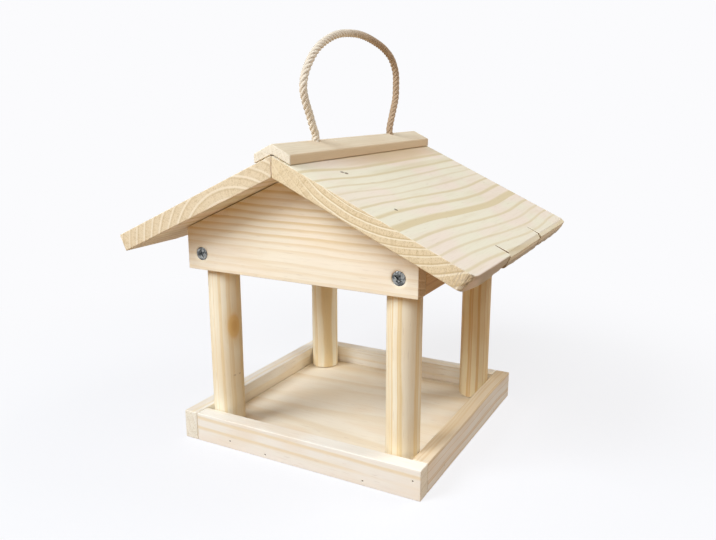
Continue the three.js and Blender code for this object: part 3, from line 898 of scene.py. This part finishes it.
for side, hand in (("right", 1), ("left", -1)):
    for end in ("front", "rear"):
        for i, share in enumerate(roof_pin_shares, 1):
            name = f"{end}_{side}_roof_pin_{i}"
            roof_pins[name] = (hand, np.array([share * roof_slope, middle_of(name)[1], roof_thickness]))
roof_marks = [(share * roof_length, gap / 2 / 1.12) for share, gap in zip(kerf_shares, kerf_gaps)]
roof_marks += [(place[1], pin_dimple["radius"]) for hand, place in list(roof_pins.values())[:4:2]]
for seed, (side, hand) in enumerate((("right", 1), ("left", -1)), 50):
    low = np.round(np.array([0, -roof_length / 2, 0]) + unevenness, 7)
    high = np.round(np.array([roof_slope, roof_length / 2, roof_thickness]) - unevenness, 7)
    pin_marks = [(share * roof_slope, pin_dimple["radius"]) for share in roof_pin_shares]
    eave_marks = [(roof_slope - kerf_depth, 0.3 * mm), (roof_slope - worn_width, 0.15 * mm)]
    xs = lines(low[0], high[0], roof_step, edge_ease, eave_marks + pin_marks)
    ys = lines(low[1], high[1], roof_step, edge_ease, roof_marks)
    zs = lines(low[2], high[2], roof_layer, edge_ease, [])
    lattice, faces = box_lattice(xs, ys, zs)
    points = (waned if hand > 0 else chipped)(eased(lattice, low, high, edge_ease), seed)
    points = kerfed(points, lattice)
    top = np.isclose(lattice[:, 2], high[2], atol=1e-6)
    for way, place in roof_pins.values():
        if way == hand:
            points = sunk(points, top, [0, 1], place[:2], **pin_dimple, inward=np.array([0, 0, -1.0]))
    ridge_share = np.clip(1 - points[:, 0] / ridge_reach, 0, 1)
    points[:, 0] -= ridge_share * points[:, 2] * math.tan(roof_pitch)
    points += waves(points, unevenness, 60 + seed)
    placed = on_roof(hand, points[:, 0], points[:, 1], points[:, 2])
    if hand < 0:
        faces = faces[:, ::-1]
    centre = on_roof(hand, 0.0, 0.0, roof_thickness)
    across = (hand * math.cos(roof_pitch), 0, -math.sin(roof_pitch))
    up = (hand * math.sin(roof_pitch), 0, math.cos(roof_pitch))
    wood = pine(f"{side}_roof_pine", centre, across, up, seed=seed, **roof_colours, **roof_looks[side])
    make_piece(f"{side}_roof", placed, faces, wood, "roof_pine", f"{side}_roof_board")

# Ridge cap: a pine strip planed to a low peak, with a V underneath that sits on both boards. Two pins hold
# it, and the rope goes down through a hole near either end.
cap_low, cap_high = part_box("ridge_cap")
cap_half = (cap_high.x - cap_low.x) / 2
cap_peak_thickness = 5.6 * mm
cap_pitch = math.radians(26)
cap_rounding = 0.4 * mm
rope_hole = sink(2.55, (0, 0.8, 1.0, 1.12), (5, 5, 0.4, 0))
cap_base = Vector((cap_low.x, cap_low.y, 0))
cap_top = Vector((cap_high.x, cap_high.y, cap_peak_thickness))
cap_sinks = [(2, 1, np.array([0, y, 0]), rope_hole) for y in rope_route[[0, -1], 0]]
cap_sinks += [(2, 1, middle_of(pin), pin_dimple) for pin in ("cap_pin_1", "cap_pin_2")]


def shaded_cap_sides(finish):
    """Painted shade: the narrow sides are painted browner than the planed top."""
    x, y, z = finish.parts(finish.own())
    inside = finish.step(finish.math("ABSOLUTE", y), cap_high.y - 0.2 * mm, cap_high.y - 1 * mm)
    side = finish.step(finish.math("ABSOLUTE", x), cap_half - 1.0 * mm, cap_half - 0.3 * mm)
    return [(0.7 * side * inside, (212, 180, 138))]


cap_look = {
    "pale": (232, 216, 188),
    "band": (214, 192, 156),
    "other": (228, 208, 178),
    "depth": 0.5,
    "end_pale": (242, 230, 206),
    "end_line": (248, 236, 212),
    "end_depth": 0.5,
    "end_edge": 0.2,
    "rays": 20.0,
    "marks": shaded_cap_sides,
}
points, faces = plank(cap_base, cap_top, 70, cap_sinks, step=2.5 * mm)
spread = np.hypot(points[:, 0], cap_rounding) - cap_rounding
level = points[:, 2] / cap_peak_thickness
points[:, 2] += cap_high.z - cap_peak_thickness
points[:, 2] -= spread * (level * math.tan(cap_pitch) + (1 - level) * math.tan(roof_pitch))
cap_look = ring_look(2.4, 40.0, 6.0, **cap_look)
wood = pine("ridge_cap_pine", (0, 0, cap_high.z), (1, 0, 0), (0, 0, 1), seed=70, **cap_look)
make_piece("ridge_strip", points, faces, wood, "cap_pine", "ridge_cap")

# Screws: zinc-plated, countersunk, with a cross recess. Two hold each gable and four the floor panel. Pins:
# bright steel, thin, with small heads set below the wood. The nails in the posts are of the same steel.
zinc = Finish(bpy.data.materials.new("zinc"))
# The light and dark patches are painted glints and reflections; the dark ones are also rougher.
zinc_glint_patch = zinc.step(zinc.noise(zinc.own(), 750.0), 0.36, 0.62)
zinc_scratch = zinc.noise(zinc.vector("MULTIPLY", zinc.own(), (1, 1, 0.2)), 2600.0)
zinc_colour = zinc.mix(zinc_glint_patch, paint(166, 167, 164), paint(84, 86, 86))
zinc_relief = zinc_glint_patch + 0.5 * zinc_scratch
zinc_plating = zinc.shade(zinc_colour, 0.22 + 0.3 * zinc_glint_patch, zinc_relief, 0.06 * mm, 0.8, Metallic=1.0)
steel = Finish(bpy.data.materials.new("bright_steel"))
steel_patch = steel.noise(steel.own(), 700.0, 3.0)
steel_colour = steel.mix(steel_patch, paint(134, 120, 100), paint(98, 84, 66))
steel_skin = steel.shade(steel_colour, 0.5 + 0.2 * steel_patch, steel_patch, 0.02 * mm, Metallic=1.0)


def screw(head, length, shank, cross):
    """Along -Z from its head: rings from the tip up the threaded shank and the cone to the rim, then in over
    the face, which drops into a cross where an arm's middle line is closer than half the arm's width."""
    sides, pitch, core, tip = 96, 1.7 * mm, 0.72 * shank / 2, 5 * mm
    cone = (head - shank) / 2
    angle = 2 * np.pi * np.arange(sides) / sides
    up = np.arange(0.1 * mm, length - cone - 0.6 * mm, 0.24 * mm)
    lead = (up[:, None] / pitch - angle[None, :] / (2 * np.pi)) % 1
    ridge = np.clip(1 - np.abs(lead - 0.5) / 0.28, 0, 1)
    ridge = ridge * np.clip((length * 0.7 - up[:, None]) / (2 * mm), 0, 1)
    shaft = (core + (shank / 2 - core) * ridge) * np.clip(0.15 + up[:, None] / tip, 0, 1)
    neck_radii = np.array([core, head / 2 - 0.15 * mm, head / 2, head / 2 - 0.12 * mm])
    neck_heights = np.array([-cone - 0.5 * mm, -0.45 * mm, -0.3 * mm, -0.1 * mm])
    face_radii = np.linspace(head / 2 - 0.3 * mm, 0.05 * mm, 34)
    radii = np.vstack([shaft, np.repeat(np.concatenate([neck_radii, face_radii])[:, None], sides, axis=1)])
    x, y = radii * np.cos(angle), radii * np.sin(angle)
    depth = 0.55 * cross / 2
    width = 0.5 * mm + 0.35 * mm * (1 - radii / (cross / 2))
    to_arm = np.minimum(np.abs(x), np.abs(y))
    cut = np.clip((width - to_arm) / (0.16 * mm), 0, 1) * np.clip((cross / 2 - radii) / (0.5 * mm), 0, 1)
    cut[: len(up) + len(neck_radii)] = 0
    heights = np.concatenate([up - length, neck_heights, np.full(len(face_radii), -0.04 * mm)])
    z = heights[:, None] - depth * cut
    points = np.stack([x, y, z], axis=-1).reshape(-1, 3)
    ends = [[0, 0, -length], [0, 0, -0.04 * mm - depth]]
    return np.vstack([points, ends]), tube_faces(len(radii), sides)


def driven(points, head_place, inward, spin=0.0):
    """Turns a fastener made along -Z to point inward, and puts the middle of its head in its place."""
    turn = Vector((0, 0, -1)).rotation_difference(Vector(inward)) @ Quaternion((0, 0, 1), spin)
    return points @ np.array(turn.to_matrix()).T + np.array(head_place)


gable_screw_size = np.array([8, 30, 3.5, 5.2]) * mm
floor_screw_size = np.array([7, 24, 3.2, 4.6]) * mm
screw_depth = 0.25 * mm
screws = {}
for corner in corner_names:
    node, side = f"{corner}_gable_screw", (-1 if corner.startswith("front") else 1)
    low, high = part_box(node)
    place = middle_of(node)
    place[1] = (low if side < 0 else high).y - side * screw_depth
    screws[node] = (f"{corner}_wood_screw", gable_screw_size, place, (0, -side, 0))
for corner in corner_names:
    node = f"{corner}_floor_screw"
    place = middle_of(node)
    place[2] = screw_depth
    screws[node] = (f"{corner}_base_screw", floor_screw_size, place, (0, 0, 1))
screw_spins = np.radians([22, 58, 10, 71, 35, 5, 49, 80])
for spin, (node, (name, size, place, inward)) in zip(screw_spins, screws.items()):
    points, faces = screw(*size)
    made = driven(points, place, inward, spin)
    make_piece(name, made, faces, zinc_plating, "zinc_plated_steel", node)


def pin(length, thickness, head):
    """A thin pin along -Z: a point, a plain shank, and a small domed head."""
    half, brim = thickness / 2, head / 2
    shank = [(0, -length), (half, 1.5 * mm - length), (half, -0.5 * mm)]
    return turned(shank + [(brim, -0.35 * mm), (brim, -0.1 * mm), (0.6 * brim, 0), (0, 0.02 * mm)], 24)


pin_depth = 0.35 * mm
strip_pin_length, cap_pin_length, roof_pin_length = 19 * mm, 12.5 * mm, 25 * mm
pins = {}
for side, inward in (("front", (0, 1, 0)), ("right", (-1, 0, 0)), ("back", (0, -1, 0)), ("left", (1, 0, 0))):
    for name in [f"{side}_floor_pin_{i}" for i in (1, 2, 3)] + [f"{side}_corner_pin"]:
        outwards = -np.array(inward) * (10 * mm - pin_depth)
        pins[name] = (strip_pins[name] + outwards, inward, strip_pin_length)
for name in ("cap_pin_1", "cap_pin_2"):
    place = middle_of(name)
    place[2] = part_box(name)[1].z - pin_depth - 0.6 * mm
    pins[name] = (place, (0, 0, -1), cap_pin_length)
for name, (hand, place) in roof_pins.items():
    inward = (-hand * math.sin(roof_pitch), 0, -math.cos(roof_pitch))
    place = on_roof(hand, place[0], place[1], roof_thickness - pin_depth)
    pins[name] = (place, inward, roof_pin_length)
for name, (place, inward, length) in pins.items():
    points, faces = pin(length, 1.0 * mm, 1.15 * mm)
    made = driven(points, place, inward)
    make_piece(name.replace("_pin", "_panel_pin"), made, faces, steel_skin, "bright_steel", name)
for corner in corner_names:
    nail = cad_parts[f"{corner}_post_nail"]
    nail.data.materials.clear()
    nail.data.materials.append(steel_skin)

# Floor and light: a wide pale floor that fades into the white behind it and throws a warm light back up.
# Two soft lamps stand in front, and one behind on the right, with a little warm light from all round.
background = paint(251, 251, 253)
bounce = (0.42, 0.26, 0.14, 1.0)
around = (1, 0.74, 0.5, 1)
around_strength = 0.06
floor_reach = 6.0


def looked_at(finish):
    """1 for rays of sight, mirrored ones too, and 0 for the light that falls on things."""
    rays = [finish.node("LightPath", out=f"Is {kind} Ray") for kind in ("Camera", "Glossy", "Transmission")]
    return finish.math("MAXIMUM", finish.math("MAXIMUM", rays[0], rays[1]), rays[2])


floor_mesh = bpy.data.meshes.new("floor")
floor_corners = [(x * floor_reach, y * floor_reach, 0) for x, y in ((-1, -1), (1, -1), (1, 1), (-1, 1))]
floor_mesh.from_pydata(floor_corners, [], [(0, 1, 2, 3)])
floor = bpy.data.objects.new("floor", floor_mesh)
bpy.context.scene.collection.objects.link(floor)
paper = Finish(bpy.data.materials.new("paper"))
seen = looked_at(paper)
reach = paper.vector("LENGTH", paper.own(), out=1)
glow_share = paper.step(reach, 0.12, 0.45) * 0.22 + 0.78
matt = paper.node("BsdfDiffuse", {}, {0: paper.mix(seen, bounce, background)})
glow = paper.node("Emission", {}, {0: background, 1: 1.0})
mixed = paper.node("MixShader", {}, {0: seen * glow_share, 1: matt, 2: glow})
floor_mesh.materials.append(paper.show(mixed))

tent = Finish(bpy.data.worlds.new("light_tent"))
soft = tent.node("Background", {}, {0: around, 1: around_strength})
white = tent.node("Background", {}, {0: background, 1: 1.0})
either = tent.node("MixShader", {}, {0: looked_at(tent), 1: soft, 2: white})
bpy.context.scene.world = tent.show(either, "World")

# Each lamp's turn round the object and height in degrees, brightness, width in metres, and tint.
lamp_distance = 1.3
lamps = {
    "left_lamp": (-32, 37, 0.8, 0.7, (0.98, 1.06, 1.16)),
    "front_lamp": (20, 34, 0.3, 0.7, (0.98, 1.06, 1.16)),
    "back_lamp": (128, 40, 0.5, 0.9, (1.0, 1.01, 1.01)),
}
for name, (turn, height, level, width, tint) in lamps.items():
    turn, height = math.radians(turn), math.radians(height)
    flat = math.cos(height)
    toward = Vector((math.sin(turn) * flat, -math.cos(turn) * flat, math.sin(height)))
    shine = bpy.data.lights.new(name, "AREA")
    shine.shape = "DISK"
    shine.size = width
    shine.color = tint
    shine.energy = level * (math.pi * lamp_distance) ** 2
    lamp = bpy.data.objects.new(name, shine)
    lamp.location = camera_aim + lamp_distance * toward
    lamp.rotation_euler = (-toward).to_track_quat("-Z", "Y").to_euler()
    bpy.context.scene.collection.objects.link(lamp)

bpy.context.scene.view_settings.view_transform = "Standard"
